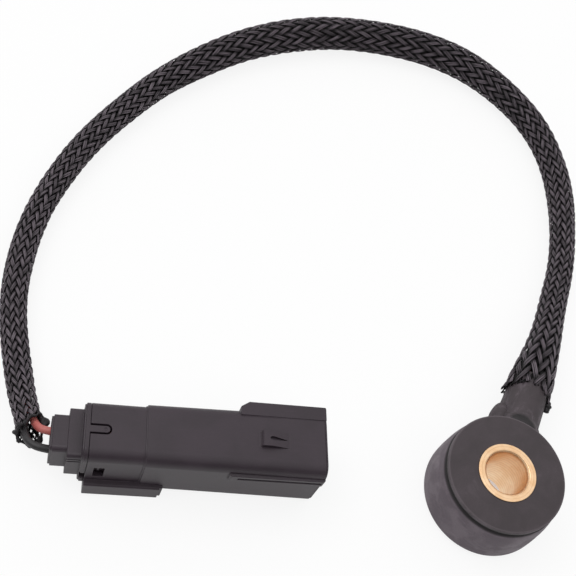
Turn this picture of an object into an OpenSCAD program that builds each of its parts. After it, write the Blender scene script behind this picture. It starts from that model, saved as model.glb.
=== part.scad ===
// Ring-shaped engine knock sensor with a braided lead and a two-way sealed connector.
// Origin: on the bolt's axis at the seat. +Z is up the bolt, +X is the way the connector's mouth faces.

/* [Sensor bush] */
// Diameter of the bolt bore
bore_d = 8.4; // [6.2:0.1:9]
// Diameter of the bush's tube and of its bright rim
rim_d = 11.8; // [11:0.1:13]
// Height of the bush from seat to rim
bush_h = 13.6; // [13:0.1:16]
// Height of the bright rim above the moulding's top face
rim_proud = 0.2; // [0.1:0.05:0.4]
// Diameter of the bush's base flange
flange_d = 19.6; // [18.5:0.1:20.5]
// Thickness of the base flange
flange_t = 2; // [1.5:0.1:2.4]
// Width of the chamfer at the top of the bore
bore_chamfer = 0.35; // [0.1:0.05:0.6]

/* [Sensor stack] */
// Width of the piezo ring and its contact discs, from bore to edge
ring_w = 3.2; // [2.5:0.1:3.4]
// Thickness of an insulating ring
insulator_t = 0.3; // [0.2:0.05:0.4]
// Thickness of a contact disc and its tab
contact_t = 0.3; // [0.2:0.05:0.4]
// Share of the stack's free height that the seismic mass takes, and the piezo ring the rest
mass_share = 0.55; // [0.45:0.05:0.65]
// Thickness of the disc spring's metal
spring_t = 0.45; // [0.3:0.05:0.6]
// Height of the disc spring's cone
spring_rise = 0.4; // [0.2:0.05:0.5]
// Outer diameter of the clamp nut
nut_d = 16.6; // [15:0.1:18]
// Height of the clamp nut
nut_h = 1.4; // [1:0.1:1.6]
// Width of a spanner slot in the clamp nut
nut_slot_w = 1.6; // [1:0.1:2.5]
// Number of spanner slots
nut_slots = 4; // [3:1:6]
// Thickness of the moulding over the clamp nut
cover_t = 2.15; // [1:0.05:2.5]
// Play between the bush and the rings around it
ring_play = 0.1; // [0.05:0.05:0.2]

/* [Sensor moulding] */
// Diameter of the flat top disc
lip_d = 24; // [23.4:0.1:24.4]
// Thickness of the lip round the top disc
lip_t = 1.3; // [0.8:0.1:1.6]
// Depth of the groove below the lip
groove_depth = 0.35; // [0.1:0.05:0.6]
// Width of the groove below the lip
groove_w = 0.6; // [0.3:0.1:1]
// Largest diameter of the side
side_d = 25.7; // [24.9:0.1:27]
// Height of the moulding's bottom face above the seat
bottom_z = 0.2; // [0.1:0.05:0.4]

/* [Cable stub] */
// Angle of the stub about the bolt's axis
stub_angle = 64; // [0:1:90]
// Height of the stub's axis
stub_z = 6.5; // [6.2:0.1:6.8]
// Diameter of the stub at its root
stub_root_d = 9.4; // [9:0.1:10]
// Diameter of the stub at its tip
stub_tip_d = 8.4; // [8.2:0.1:8.6]
// Diameter of the collar where the stub leaves the moulding
stub_collar_d = 11; // [10:0.1:11.4]
// Distance from the bolt's axis to the stub's tip
stub_reach = 26; // [25:0.5:28]

/* [Leads] */
// Diameter of a lead over its insulation
wire_d = 1.5; // [1.3:0.05:1.6]
// Diameter of a lead's bare strands
strand_d = 0.8; // [0.5:0.05:1]
// Distance between the two leads in the stub and the connector
lead_pitch = 3.5; // [3.2:0.1:3.8]
// Distance between the two leads inside the sleeve
lead_spread = 1.7; // [1.6:0.1:1.9]
// Thickness of the braided sleeve's wall
sleeve_wall = 0.5; // [0.4:0.05:0.6]
// Width of a contact tab
tab_w = 1.4; // [1:0.1:1.8]
// Length of a splice barrel
splice_l = 2.8; // [2:0.1:3]
// Outer diameter of a splice barrel
splice_d = 2; // [1.8:0.1:2.2]

/* [Connector shroud] */
// Distance from the rear cap to the mouth
conn_l = 50.6; // [48:0.1:54]
// Width of the body at the seam
body_w = 12; // [11.6:0.1:13]
// Height of the body at the seam
body_h = 14.5; // [14:0.1:15.5]
// Growth of the width and height from the seam to the mouth
body_draft = 0.6; // [0:0.1:0.8]
// Radius of the body's long edges
body_r = 2.4; // [1.8:0.1:2.6]
// Width of the mouth's hollow
mouth_w = 9.4; // [9:0.1:9.8]
// Height of the mouth's hollow
mouth_h = 11.9; // [11:0.1:12.2]
// Depth of the mouth's hollow
mouth_depth = 22; // [20:0.5:23]
// Position of the seam between collar and body
seam_u = 16.7; // [15.5:0.1:18]
// Step from the body down to the collar
collar_step = 0.35; // [0.2:0.05:0.5]
// Position of the collar's rear edge
collar_u = 6.8; // [6.4:0.1:7.4]
// Width of the hollow behind the collar
nest_w = 9.2; // [9:0.1:9.5]
// Height of the hollow behind the collar
nest_h = 10; // [9.6:0.1:10.2]
// Position of the hollow's inner end
nest_end_u = 14.6; // [14.2:0.1:15]

/* [Connector features] */
// Position where the guard ridge starts
ridge_u = 34.1; // [32:0.1:36]
// Reach of the guard ridge from the body's side
ridge_reach = 1.3; // [0.8:0.1:1.6]
// Height of the guard ridge
ridge_h = 2.8; // [2:0.1:3.4]
// Position where the key rail starts
rail_u = 32.4; // [30:0.1:35]
// Reach of the key rail from the body's side
rail_reach = 0.45; // [0.3:0.05:0.8]
// Height of the key rail
rail_h = 2.4; // [1.8:0.1:3]
// Position of the lock window's rear edge
lock_u = 38.2; // [37.8:0.1:39]
// Length of the lock window
lock_l = 5; // [4.6:0.1:5.6]
// Width of the lock window
lock_w = 2.8; // [2.4:0.1:3.2]
// Rise of the lock wedge above the top face
lock_rise = 0.5; // [0.2:0.1:0.8]
// Length of the clip foot
foot_l = 14.7; // [12:0.1:16]
// Width of the clip foot
foot_w = 13.8; // [13.4:0.1:15]
// Drop of the clip foot below the body
foot_drop = 1; // [0.6:0.1:1.4]
// Height of the clip foot's side
foot_h = 4.6; // [4:0.1:5.5]
// Width of the clip slot's opening
clip_gap = 4.4; // [3.5:0.1:5]
// Width of the clip slot under its lips
clip_w = 7; // [6:0.1:8]

/* [Rear cap] */
// Width of the cap's rear block
cap_w = 7.2; // [6.8:0.1:7.6]
// Height of the cap's rear block
cap_h = 8.6; // [8:0.1:8.8]
// Length of the cap's rear block
cap_l = 3.1; // [2.6:0.1:3.4]
// Width of the cap's front block
block_w = 9.6; // [9.2:0.1:10]
// Height of the cap's front block
block_h = 9.2; // [9:0.1:9.6]
// Thickness of the cap's flange
cap_flange_t = 0.9; // [0.6:0.1:1.1]
// Gap between the cap's flange and the collar
cap_gap = 0.25; // [0.15:0.05:0.3]
// Width of the cap's latch tongue
tongue_w = 1.3; // [1:0.1:1.5]
// Length of the cap's latch tongue past the collar's edge
tongue_l = 3.5; // [3:0.1:4]
// Clear width round the latch tongue
tongue_gap = 0.3; // [0.2:0.05:0.4]
// Clearance between the cap's plug and the collar
plug_play = 0.1; // [0.05:0.05:0.2]

/* [Terminals] */
// Width of a blade
blade_w = 1.5; // [1.2:0.1:1.8]
// Thickness of a blade
blade_t = 0.64; // [0.5:0.02:0.8]
// Distance from a blade's tip to the mouth
blade_recess = 5.6; // [5:0.1:8]
// Width and height of a terminal's box
box_w = 2.3; // [2:0.1:2.5]
// Length of a terminal's box
box_l = 4.5; // [4:0.1:5]
// Thickness of the terminal lock plate
lock_plate_t = 1.8; // [1.2:0.1:2.4]

/* [Hidden] */
$fn = 72;

black_plastic = [0.22, 0.20, 0.22];
brass = [0.83, 0.68, 0.42];

eps = 0.01;
signal_side = 1;
ground_side = -1;

// Heights of the stack, from the flange up
top_z = bush_h - rim_proud;
stack_h = top_z - cover_t - flange_t;
free_h = stack_h - 2 * insulator_t - 2 * contact_t - spring_t - spring_rise - nut_h;
mass_h = free_h * mass_share;
piezo_t = free_h - mass_h;
lower_insulator_z = flange_t;
lower_contact_z = lower_insulator_z + insulator_t;
piezo_z = lower_contact_z + contact_t;
upper_contact_z = piezo_z + piezo_t;
upper_insulator_z = upper_contact_z + contact_t;
mass_z = upper_insulator_z + insulator_t;
spring_z = mass_z + mass_h;
nut_z = spring_z + spring_t + spring_rise;
ring_bore_d = rim_d + 2 * ring_play;
stack_d = ring_bore_d + 2 * ring_w;
insulator_d = stack_d + 0.3;
mass_d = stack_d + 0.2;

// The stub carries the leads out along its own axis
tab_rise_r = stack_d / 2 + 2;
tab_end_r = tab_rise_r + 3.4;
splice_r = tab_end_r - 1;
wire_start_r = splice_r + splice_l;
resistor_l = lead_pitch - 0.2;
resistor_w = 1.5;
resistor_t = 0.6;
resistor_cap = 0.5;

// The connector lies on its clip foot and on the lower edge of its mouth
foot_u = collar_u;
foot_end_u = foot_u + foot_l;
foot_bottom = -body_h / 2 - foot_drop;
mouth_bottom = -(body_h + body_draft) / 2;
lie_tilt = atan((mouth_bottom - foot_bottom) / (conn_l - foot_end_u));
rear_x = -87;
rear_y = 3;
rear_z = foot_end_u * sin(lie_tilt) - foot_bottom * cos(lie_tilt);

// Widths and heights that follow from the body
collar_w = body_w - 2 * collar_step;
collar_h = body_h - 2 * collar_step;
collar_r = body_r - collar_step / 2;
mouth_out_w = body_w + body_draft;
mouth_out_h = body_h + body_draft;
mouth_floor_u = conn_l - mouth_depth;
flange_back_u = collar_u - cap_gap - cap_flange_t;
plug_w = nest_w - 2 * plug_play;
plug_h = nest_h - 2 * plug_play;
plug_end_u = collar_u + 3.4;
seal_u = plug_end_u;
window_u = collar_u + 1.4;
window_l = 1.9;
window_h = 4.2;
crimp_u = nest_end_u + 0.3;
grip_l = 1.3;
box_u = crimp_u + 4.2;
blade_u = box_u + box_l;
blade_tip_u = conn_l - blade_recess;
channel_w = box_w + 0.2;
blade_slot_play = 0.1;

// The sleeve's route: x, y, z and outer radius, from the stub round to the connector
SLEEVE = [
  [8.9, 18.3, 6.5, 5.0], [11.2, 23.0, 6.5, 4.8], [13.4, 27.5, 6.3, 4.3], [15.6, 32.0, 5.8, 3.8],
  [18.5, 38.5, 4.7, 3.3], [21.5, 46.0, 3.7, 3.1], [24.5, 54.0, 3.2, 3.0], [27.0, 65.0, 3.2, 3.0],
  [28.0, 76.0, 3.3, 3.2], [27.0, 87.5, 3.3, 3.2], [23.5, 97.0, 3.5, 3.4], [17.0, 105.5, 3.7, 3.6],
  [8.0, 112.5, 4.0, 3.9], [-2.5, 116.5, 4.1, 4.0], [-14.0, 118.0, 4.1, 4.0], [-26.0, 117.5, 4.1, 4.0],
  [-38.0, 114.5, 4.1, 4.0], [-49.5, 109.5, 3.9, 3.8], [-60.0, 102.5, 3.7, 3.6], [-69.0, 95.0, 3.4, 3.3],
  [-77.0, 86.0, 3.2, 3.1], [-84.0, 76.5, 3.1, 3.0], [-89.5, 66.5, 3.0, 2.9], [-93.5, 56.5, 2.9, 2.8],
  [-95.8, 46.0, 2.9, 2.8], [-96.5, 35.5, 2.8, 2.7], [-95.5, 26.0, 2.9, 2.7], [-94.0, 18.5, 3.5, 2.7],
  [-92.6, 12.5, 4.7, 2.6], [-91.2, 7.8, 6.2, 2.5]
];
// The leads' bends between the sleeve's end and the cap
SIGNAL_BEND = [[-89.7, 6.4, 7.4], [-88.8, 5.3, 8.3]];
GROUND_BEND = [[-91.6, 4.6, 7.4], [-90.6, 2.6, 8.3], [-89.2, 1.6, 8.8]];

function unit(v) = v / norm(v);
function spot(p) = [p[0], p[1], p[2]];
function heading(path, i) = unit(path[min(i + 1, len(path) - 1)] - path[max(i - 1, 0)]);
function leftward(t) = unit(cross([0, 0, 1], t));
function ring_at(c, t, r, n) = [
  for (k = [0:n - 1]) let (a = 360 * (k + 0.5) / n)
    c - r * cos(a) * leftward(t) + r * sin(a) * unit(cross(t, leftward(t)))
];
function flat(lists) = [for (l = lists) for (p = l) p];
function sleeve_path() = [for (p = SLEEVE) spot(p)];

// A point on the stub: distance from the bolt's axis, side step, height
function on_stub(r, side, z) = [
  r * cos(stub_angle) - side * sin(stub_angle), r * sin(stub_angle) + side * cos(stub_angle), z
];
// A point in the connector: distance from the cap's rear, side step, height
function in_connector(u, side, up) = [
  rear_x + u * cos(lie_tilt) + up * sin(lie_tilt), rear_y + side, rear_z + up * cos(lie_tilt) - u * sin(lie_tilt)
];

function lead_route(side, bend) = concat(
  [on_stub(wire_start_r, side * lead_pitch / 2, stub_z), on_stub(stub_reach, side * lead_pitch / 2, stub_z)],
  [for (i = [3:len(SLEEVE) - 1])
    spot(SLEEVE[i]) + side * lead_spread / 2 * leftward(heading(sleeve_path(), i))],
  bend,
  [in_connector(-0.5, side * lead_pitch / 2, 0), in_connector(crimp_u + grip_l, side * lead_pitch / 2, 0)]
);

// A solid tube swept along a path
module tube(path, r, n) {
  m = len(path);
  rings = flat([for (i = [0:m - 1]) ring_at(path[i], heading(path, i), r, n)]);
  sides = flat([for (i = [0:m - 2]) flat([for (k = [0:n - 1])
    let (a = i * n + k, b = i * n + (k + 1) % n) [[a, a + n, b], [b, a + n, b + n]]])]);
  ends = [[for (k = [0:n - 1]) k], [for (k = [n - 1:-1:0]) (m - 1) * n + k]];
  polyhedron(points = rings, faces = concat(sides, ends));
}

// A hollow tube swept along a path, with a radius at each point
module sleeve_tube(path, radii, wall, n) {
  m = len(path);
  outer = flat([for (i = [0:m - 1]) ring_at(path[i], heading(path, i), radii[i], n)]);
  inner = flat([for (i = [0:m - 1]) ring_at(path[i], heading(path, i), radii[i] - wall, n)]);
  w = m * n;
  last = (m - 1) * n;
  skins = flat([for (i = [0:m - 2]) flat([for (k = [0:n - 1])
    let (a = i * n + k, b = i * n + (k + 1) % n)
      [[a, a + n, b], [b, a + n, b + n], [w + a, w + b, w + a + n], [w + b, w + b + n, w + a + n]]])]);
  rims = flat([for (k = [0:n - 1]) let (b = (k + 1) % n)
    [[k, b, w + k], [b, w + b, w + k], [last + k, last + w + k, last + b], [last + b, last + w + k, last + w + b]]]);
  polyhedron(points = concat(outer, inner), faces = concat(skins, rims));
}

module rounded_rect(w, h, r) {
  square([w - 2 * r, h], center = true);
  square([w, h - 2 * r], center = true);
  for (x = [-1, 1])
    for (y = [-1, 1])
      translate([x * (w / 2 - r), y * (h / 2 - r)]) circle(r);
}

// A bar with rounded long edges, along the connector from u0 to u1
module bar(u0, u1, w, h, r) {
  translate([u0, 0, 0]) rotate([90, 0, 90]) linear_extrude(u1 - u0) rounded_rect(w, h, r);
}

// A block in the connector's frame, given by its corners
module block(u, side, up) {
  translate([u[0], side[0], up[0]]) cube([u[1] - u[0], side[1] - side[0], up[1] - up[0]]);
}

module place_connector() {
  translate([rear_x, rear_y, rear_z]) rotate([0, lie_tilt, 0]) children();
}

module along_stub(r, side = 0) {
  rotate([0, 0, stub_angle]) translate([r, side, stub_z]) rotate([0, 90, 0]) children();
}

module ring(z, t, d_out, d_in) {
  translate([0, 0, z]) difference() {
    cylinder(h = t, d = d_out);
    translate([0, 0, -eps]) cylinder(h = t + 2 * eps, d = d_in);
  }
}

// Bush: flange, tube and bright rim turned in one piece
module bush() {
  r = bore_d / 2;
  color(brass) rotate_extrude() polygon([
    [r, 0], [flange_d / 2 - 0.2, 0], [flange_d / 2, 0.2], [flange_d / 2, flange_t - 0.2],
    [flange_d / 2 - 0.2, flange_t], [rim_d / 2, flange_t], [rim_d / 2, bush_h - 0.1],
    [rim_d / 2 - 0.1, bush_h], [r + bore_chamfer, bush_h], [r, bush_h - bore_chamfer]
  ]);
}

module lower_insulator() {
  color("khaki") ring(lower_insulator_z, insulator_t, insulator_d, ring_bore_d);
}

module upper_insulator() {
  color("khaki") ring(upper_insulator_z, insulator_t, insulator_d, ring_bore_d);
}

module piezo_ring() {
  color("dimgray") ring(piezo_z, piezo_t, stack_d, ring_bore_d);
}

module seismic_mass() {
  color("slategray") rotate_extrude() polygon([
    [ring_bore_d / 2 + 0.3, mass_z], [mass_d / 2 - 0.3, mass_z], [mass_d / 2, mass_z + 0.3],
    [mass_d / 2, mass_z + mass_h - 0.3], [mass_d / 2 - 0.3, mass_z + mass_h],
    [ring_bore_d / 2 + 0.3, mass_z + mass_h], [ring_bore_d / 2, mass_z + mass_h - 0.3],
    [ring_bore_d / 2, mass_z + 0.3]
  ]);
}

module disc_spring() {
  color("silver") rotate_extrude() polygon([
    [ring_bore_d / 2, spring_z + spring_rise], [nut_d / 2, spring_z],
    [nut_d / 2, spring_z + spring_t], [ring_bore_d / 2, spring_z + spring_rise + spring_t]
  ]);
}

module clamp_nut() {
  color("darkgray") difference() {
    ring(nut_z, nut_h, nut_d, rim_d + 0.04);
    for (k = [0:nut_slots - 1])
      rotate([0, 0, 360 * k / nut_slots + stub_angle + 45])
        translate([nut_d / 2 - 1.1, -nut_slot_w / 2, nut_z + nut_h - 0.8]) cube([3, nut_slot_w, 2]);
  }
}

// A contact disc with its tab, which steps up to the stub's axis
module contact(z, side) {
  color("goldenrod") {
    ring(z, contact_t, stack_d, ring_bore_d);
    rotate([0, 0, stub_angle]) translate([0, side * lead_pitch / 2 - tab_w / 2, 0])
      rotate([90, 0, 0]) mirror([0, 0, 1]) linear_extrude(tab_w) polygon([
        [stack_d / 2 - 1, z], [tab_rise_r + contact_t, z], [tab_rise_r + contact_t, stub_z - contact_t / 2],
        [tab_end_r, stub_z - contact_t / 2], [tab_end_r, stub_z + contact_t / 2],
        [tab_rise_r, stub_z + contact_t / 2], [tab_rise_r, z + contact_t], [stack_d / 2 - 1, z + contact_t]
      ]);
  }
}

module lower_contact() {
  contact(lower_contact_z, ground_side);
}

module upper_contact() {
  contact(upper_contact_z, signal_side);
}

// Chip resistor soldered across the two tabs
module bleed_resistor() {
  color("darkslategray") rotate([0, 0, stub_angle])
    translate([tab_rise_r + 0.6, -resistor_l / 2, stub_z + contact_t / 2]) difference() {
      cube([resistor_w, resistor_l, resistor_t]);
      translate([-eps, resistor_cap, resistor_t - 0.08])
        cube([resistor_w + 2 * eps, resistor_l - 2 * resistor_cap, 1]);
    }
}

// Barrel crimped over a tab's end and a lead's strands
module splice(side) {
  color("tan") difference() {
    along_stub(splice_r, side * lead_pitch / 2) cylinder(h = splice_l, d = splice_d);
    along_stub(splice_r + splice_l / 2, side * lead_pitch / 2) cylinder(h = splice_l, d = strand_d);
    rotate([0, 0, stub_angle])
      translate([splice_r - eps, side * lead_pitch / 2 - tab_w / 2, stub_z - contact_t / 2])
        cube([tab_end_r - splice_r + eps, tab_w, contact_t]);
    rotate([0, 0, stub_angle])
      translate([splice_r + 0.4, side * lead_pitch / 2 - 0.1, stub_z + splice_d / 2 - 0.35])
        cube([splice_l - 0.8, 0.2, 1]);
  }
}

module signal_splice() {
  splice(signal_side);
}

module ground_splice() {
  splice(ground_side);
}

// Bare strands at a lead's sensor end
module strands(side) {
  along_stub(splice_r + splice_l / 2, side * lead_pitch / 2) cylinder(h = splice_l / 2 + 0.3, d = strand_d);
}

module signal_wire() {
  color("firebrick") {
    tube(lead_route(signal_side, SIGNAL_BEND), wire_d / 2, 8);
    strands(signal_side);
  }
}

module ground_wire() {
  color([0.12, 0.12, 0.12]) {
    tube(lead_route(ground_side, GROUND_BEND), wire_d / 2, 8);
    strands(ground_side);
  }
}

module braided_sleeve() {
  color([0.16, 0.15, 0.16]) sleeve_tube(sleeve_path(), [for (p = SLEEVE) p[3]], sleeve_wall, 12);
}

// Outline of the moulding from the flange's edge, round the lip, to the bright rim
module moulding_profile() {
  groove_z = top_z - lip_t;
  polygon([
    [rim_d / 2, bottom_z], [side_d / 2 - 0.5, bottom_z], [side_d / 2 - 0.1, bottom_z + 0.5],
    [side_d / 2, top_z * 0.3], [(side_d + lip_d) / 4 + 0.1, groove_z - groove_w - 0.5],
    [lip_d / 2, groove_z - groove_w], [lip_d / 2 - groove_depth, groove_z - groove_w / 2],
    [lip_d / 2 - groove_depth, groove_z], [lip_d / 2 - 0.1, groove_z + 0.1], [lip_d / 2, groove_z + 0.3],
    [lip_d / 2, top_z - 0.4], [lip_d / 2 - 0.12, top_z - 0.12], [lip_d / 2 - 0.4, top_z], [rim_d / 2, top_z]
  ]);
}

// The room that the bush and the stack take inside the moulding
module stack_room() {
  translate([0, 0, -eps]) cylinder(h = flange_t + eps, d = flange_d);
  translate([0, 0, flange_t - eps]) cylinder(h = spring_z - flange_t + eps, d = insulator_d);
  translate([0, 0, spring_z - eps]) cylinder(h = nut_z + nut_h - spring_z + eps, d = nut_d);
  translate([0, 0, -eps]) cylinder(h = bush_h + 1, d = rim_d);
}

// The room at the stub's root: tall where the tabs rise, low where the splices lie in the stub
module lead_room() {
  half = lead_pitch / 2 + splice_d / 2 + 0.15;
  start_r = stack_d / 2 - 1;
  rise_r = tab_rise_r + contact_t + 0.2;
  top = stub_z + splice_d / 2 + 0.1;
  low = stub_z - splice_d / 2 - 0.1;
  rotate([0, 0, stub_angle]) {
    translate([start_r, -half, lower_contact_z]) cube([rise_r - start_r, 2 * half, top - lower_contact_z]);
    translate([start_r, -half, low]) cube([wire_start_r - start_r, 2 * half, top - low]);
  }
}

// Sensor moulding: ring-shaped body, collar, tapered stub and the leads' two holes
module sensor_housing() {
  color(black_plastic) difference() {
    union() {
      rotate_extrude() moulding_profile();
      along_stub(rim_d / 2) cylinder(h = stub_reach - rim_d / 2, d1 = stub_root_d, d2 = stub_tip_d);
      along_stub(side_d / 2 - 2) cylinder(h = 2.9, d = stub_collar_d);
      along_stub(side_d / 2 + 0.9) cylinder(h = 1, d1 = stub_collar_d, d2 = stub_root_d - 0.2);
    }
    stack_room();
    lead_room();
    for (side = [signal_side, ground_side])
      along_stub(wire_start_r - 1, side * lead_pitch / 2)
        cylinder(h = stub_reach, d = wire_d);
  }
}

module collar_and_body() {
  bar(collar_u, seam_u + 1, collar_w, collar_h, collar_r);
  hull() {
    bar(seam_u + 0.3, seam_u + 0.4, body_w, body_h, body_r, $fn = 40);
    bar(conn_l - 0.5, conn_l - 0.4, mouth_out_w, mouth_out_h, body_r, $fn = 40);
  }
  bar(seam_u, seam_u + 0.4, body_w - 0.4, body_h - 0.4, body_r - 0.1);
  bar(conn_l - 1, conn_l, mouth_out_w - 0.3, mouth_out_h - 0.3, body_r - 0.1);
}

// Guard ridge along the upper far edge, with a chamfered start
module guard_ridge() {
  top = mouth_out_h / 2;
  side = body_w / 2 + ridge_reach;
  translate([0, 0, top - ridge_h]) linear_extrude(ridge_h) polygon([
    [ridge_u, body_w / 2 - 1.4], [ridge_u, side - 1], [ridge_u + 1.6, side], [conn_l - 0.2, side],
    [conn_l, side - 0.2], [conn_l, body_w / 2 - 1.4]
  ]);
}

// Key rail along the near side, with a groove down its face
module key_rail() {
  side = -mouth_out_w / 2 - rail_reach;
  top = body_h / 2 - body_r + 0.3;
  difference() {
    translate([0, 0, top - rail_h]) linear_extrude(rail_h) polygon([
      [rail_u, -body_w / 2 + 1], [rail_u, side + 0.3], [rail_u + 0.5, side], [conn_l - 0.3, side],
      [conn_l, side + 0.3], [conn_l, -body_w / 2 + 1]
    ]);
    block([rail_u + 1.7, conn_l - 0.6], [side - 1, side + 0.35], [top - rail_h * 0.62, top - rail_h * 0.36]);
  }
}

// Lock wedge: wide where the mate's latch catches, narrow where it rides up
module lock_wedge() {
  top = body_h / 2 + body_draft * 0.3;
  nose = lock_w / 2 + 0.01;
  intersection() {
    translate([0, 0, top - 1.2]) linear_extrude(1.2 + lock_rise) polygon([
      [lock_u - 0.6, -nose], [lock_u + 0.9, -nose], [lock_u + 1.6, -0.5], [lock_u + lock_l + 0.3, -0.5],
      [lock_u + lock_l + 0.3, 0.5], [lock_u + 1.6, 0.5], [lock_u + 0.9, nose], [lock_u - 0.6, nose]
    ]);
    translate([0, lock_w, 0]) rotate([90, 0, 0]) linear_extrude(2 * lock_w) polygon([
      [lock_u - 0.6, top - 1.2], [lock_u - 0.6, top], [lock_u - 0.1, top + lock_rise],
      [lock_u + 0.8, top + lock_rise], [lock_u + lock_l + 0.3, top - 0.4], [lock_u + lock_l + 0.3, top - 1.2]
    ]);
  }
}

// Clip foot under the collar, open to a fastener from behind
module clip_foot() {
  ledge = foot_bottom + foot_h;
  rotate([90, 0, 90]) translate([0, 0, foot_u]) linear_extrude(foot_l - 0.6) polygon([
    [-foot_w / 2, foot_bottom], [foot_w / 2, foot_bottom], [foot_w / 2, ledge - 0.3],
    [foot_w / 2 - 0.3, ledge], [-foot_w / 2 + 0.3, ledge], [-foot_w / 2, ledge - 0.3]
  ]);
  rotate([90, 0, 90]) translate([0, 0, foot_end_u - 0.6]) linear_extrude(0.6) polygon([
    [-foot_w / 2 + 0.4, foot_bottom], [foot_w / 2 - 0.4, foot_bottom], [foot_w / 2 - 0.4, ledge - 0.4],
    [-foot_w / 2 + 0.4, ledge - 0.4]
  ]);
}

module clip_slot() {
  lip = 1.1;
  block([foot_u - eps, foot_end_u - 2], [-clip_gap / 2, clip_gap / 2], [foot_bottom - eps, foot_bottom + lip + eps]);
  block([foot_u - eps, foot_end_u - 2], [-clip_w / 2, clip_w / 2], [foot_bottom + lip, -nest_h / 2 - 0.7]);
}

module terminal_channels() {
  for (side = [signal_side, ground_side]) {
    mid = side * lead_pitch / 2;
    block([nest_end_u - eps, blade_u + 0.1], [mid - channel_w / 2, mid + channel_w / 2], [-channel_w / 2, channel_w / 2]);
    block([blade_u, mouth_floor_u + eps],
      [mid - blade_w / 2 - blade_slot_play, mid + blade_w / 2 + blade_slot_play],
      [-blade_t / 2 - blade_slot_play, blade_t / 2 + blade_slot_play]);
  }
}

// Connector moulding: collar, shroud, ridge, rail, lock window and clip foot
module connector_housing() {
  slot_w = tongue_w + 2 * tongue_gap;
  color(black_plastic) place_connector() difference() {
    union() {
      difference() {
        union() {
          collar_and_body();
          guard_ridge();
          key_rail();
          clip_foot();
        }
        block([lock_u, lock_u + lock_l], [-lock_w / 2, lock_w / 2], [mouth_h / 2 - 1, body_h]);
      }
      lock_wedge();
    }
    bar(mouth_floor_u, conn_l + 1, mouth_w, mouth_h, 1.3);
    bar(collar_u - 1, nest_end_u, nest_w, nest_h, 1.5);
    terminal_channels();
    clip_slot();
    // Slot for the cap's tongue, with a round end
    block([collar_u - 1, collar_u + tongue_l + tongue_gap - slot_w / 2], [-slot_w / 2, slot_w / 2], [nest_h / 2 - 1, body_h]);
    translate([collar_u + tongue_l + tongue_gap - slot_w / 2, 0, nest_h / 2 - 1]) cylinder(h = body_h, d = slot_w);
    // Windows for the cap's side catches
    block([window_u, window_u + window_l], [-body_w, body_w], [-window_h / 2, window_h / 2]);
  }
}

// Rear cap: stepped back, flange, plug, tongue and side catches
module rear_cap() {
  tongue_top = collar_h / 2;
  tip_u = collar_u + tongue_l;
  color(black_plastic) place_connector() difference() {
    union() {
      bar(0.4, cap_l + 1, cap_w, cap_h, 1);
      bar(0, 1, cap_w - 0.6, cap_h - 0.6, 0.8);
      bar(cap_l, flange_back_u + 0.2, block_w, block_h, 0.8);
      bar(flange_back_u, flange_back_u + cap_flange_t, collar_w - 0.5, collar_h - 0.5, collar_r - 0.2);
      bar(flange_back_u + 0.3, flange_back_u + cap_flange_t, collar_w, collar_h, collar_r);
      bar(flange_back_u + 0.3, plug_end_u, plug_w, plug_h, 1.4);
      block([flange_back_u + 0.5, tip_u - tongue_w / 2], [-tongue_w / 2, tongue_w / 2], [plug_h / 2 - 0.5, tongue_top]);
      translate([tip_u - tongue_w / 2, 0, plug_h / 2 - 0.5]) cylinder(h = tongue_top - plug_h / 2 + 0.5, d = tongue_w);
      for (m = [0, 1])
        mirror([0, m, 0]) linear_extrude(1.6) polygon([
          [window_u + 0.5, plug_w / 2 - 0.5], [window_u + 0.5, collar_w / 2 - 0.5],
          [window_u + 0.9, collar_w / 2 - 0.3], [window_u + 1.5, plug_w / 2], [window_u + 1.5, plug_w / 2 - 0.5]
        ]);
    }
    // Two shallow grooves down each side of the front block
    for (m = [0, 1])
      for (h = [2.2, 3.2])
        mirror([0, m, 0]) block([cap_l - eps, flange_back_u], [block_w / 2 - 0.3, block_w], [h, h + 0.35]);
    // Grip notch in the flange's near side, where the seal's edge shows
    block([flange_back_u + 0.2, collar_u], [-body_w, -plug_w / 2 + 0.4], [-3.4, -0.9]);
    for (side = [signal_side, ground_side])
      translate([-1, side * lead_pitch / 2, 0]) rotate([0, 90, 0]) cylinder(h = plug_end_u + 2, d = wire_d + 0.3);
    translate([tip_u - tongue_w / 2 - 0.1, 0, tongue_top + 0.35]) sphere(d = 1);
  }
}

// Wire seal: a mat with lips round its edge and a hole for each lead
module wire_seal() {
  color("saddlebrown") place_connector() difference() {
    union() {
      bar(seal_u, nest_end_u, nest_w - 0.5, nest_h - 0.5, 1.3);
      for (k = [0:2])
        bar(seal_u + 0.3 + 1.4 * k, seal_u + 0.9 + 1.4 * k, nest_w, nest_h, 1.5);
    }
    for (side = [signal_side, ground_side])
      translate([seal_u - 1, side * lead_pitch / 2, 0]) rotate([0, 90, 0])
        cylinder(h = nest_end_u - seal_u + 2, d = wire_d);
  }
}

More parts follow.
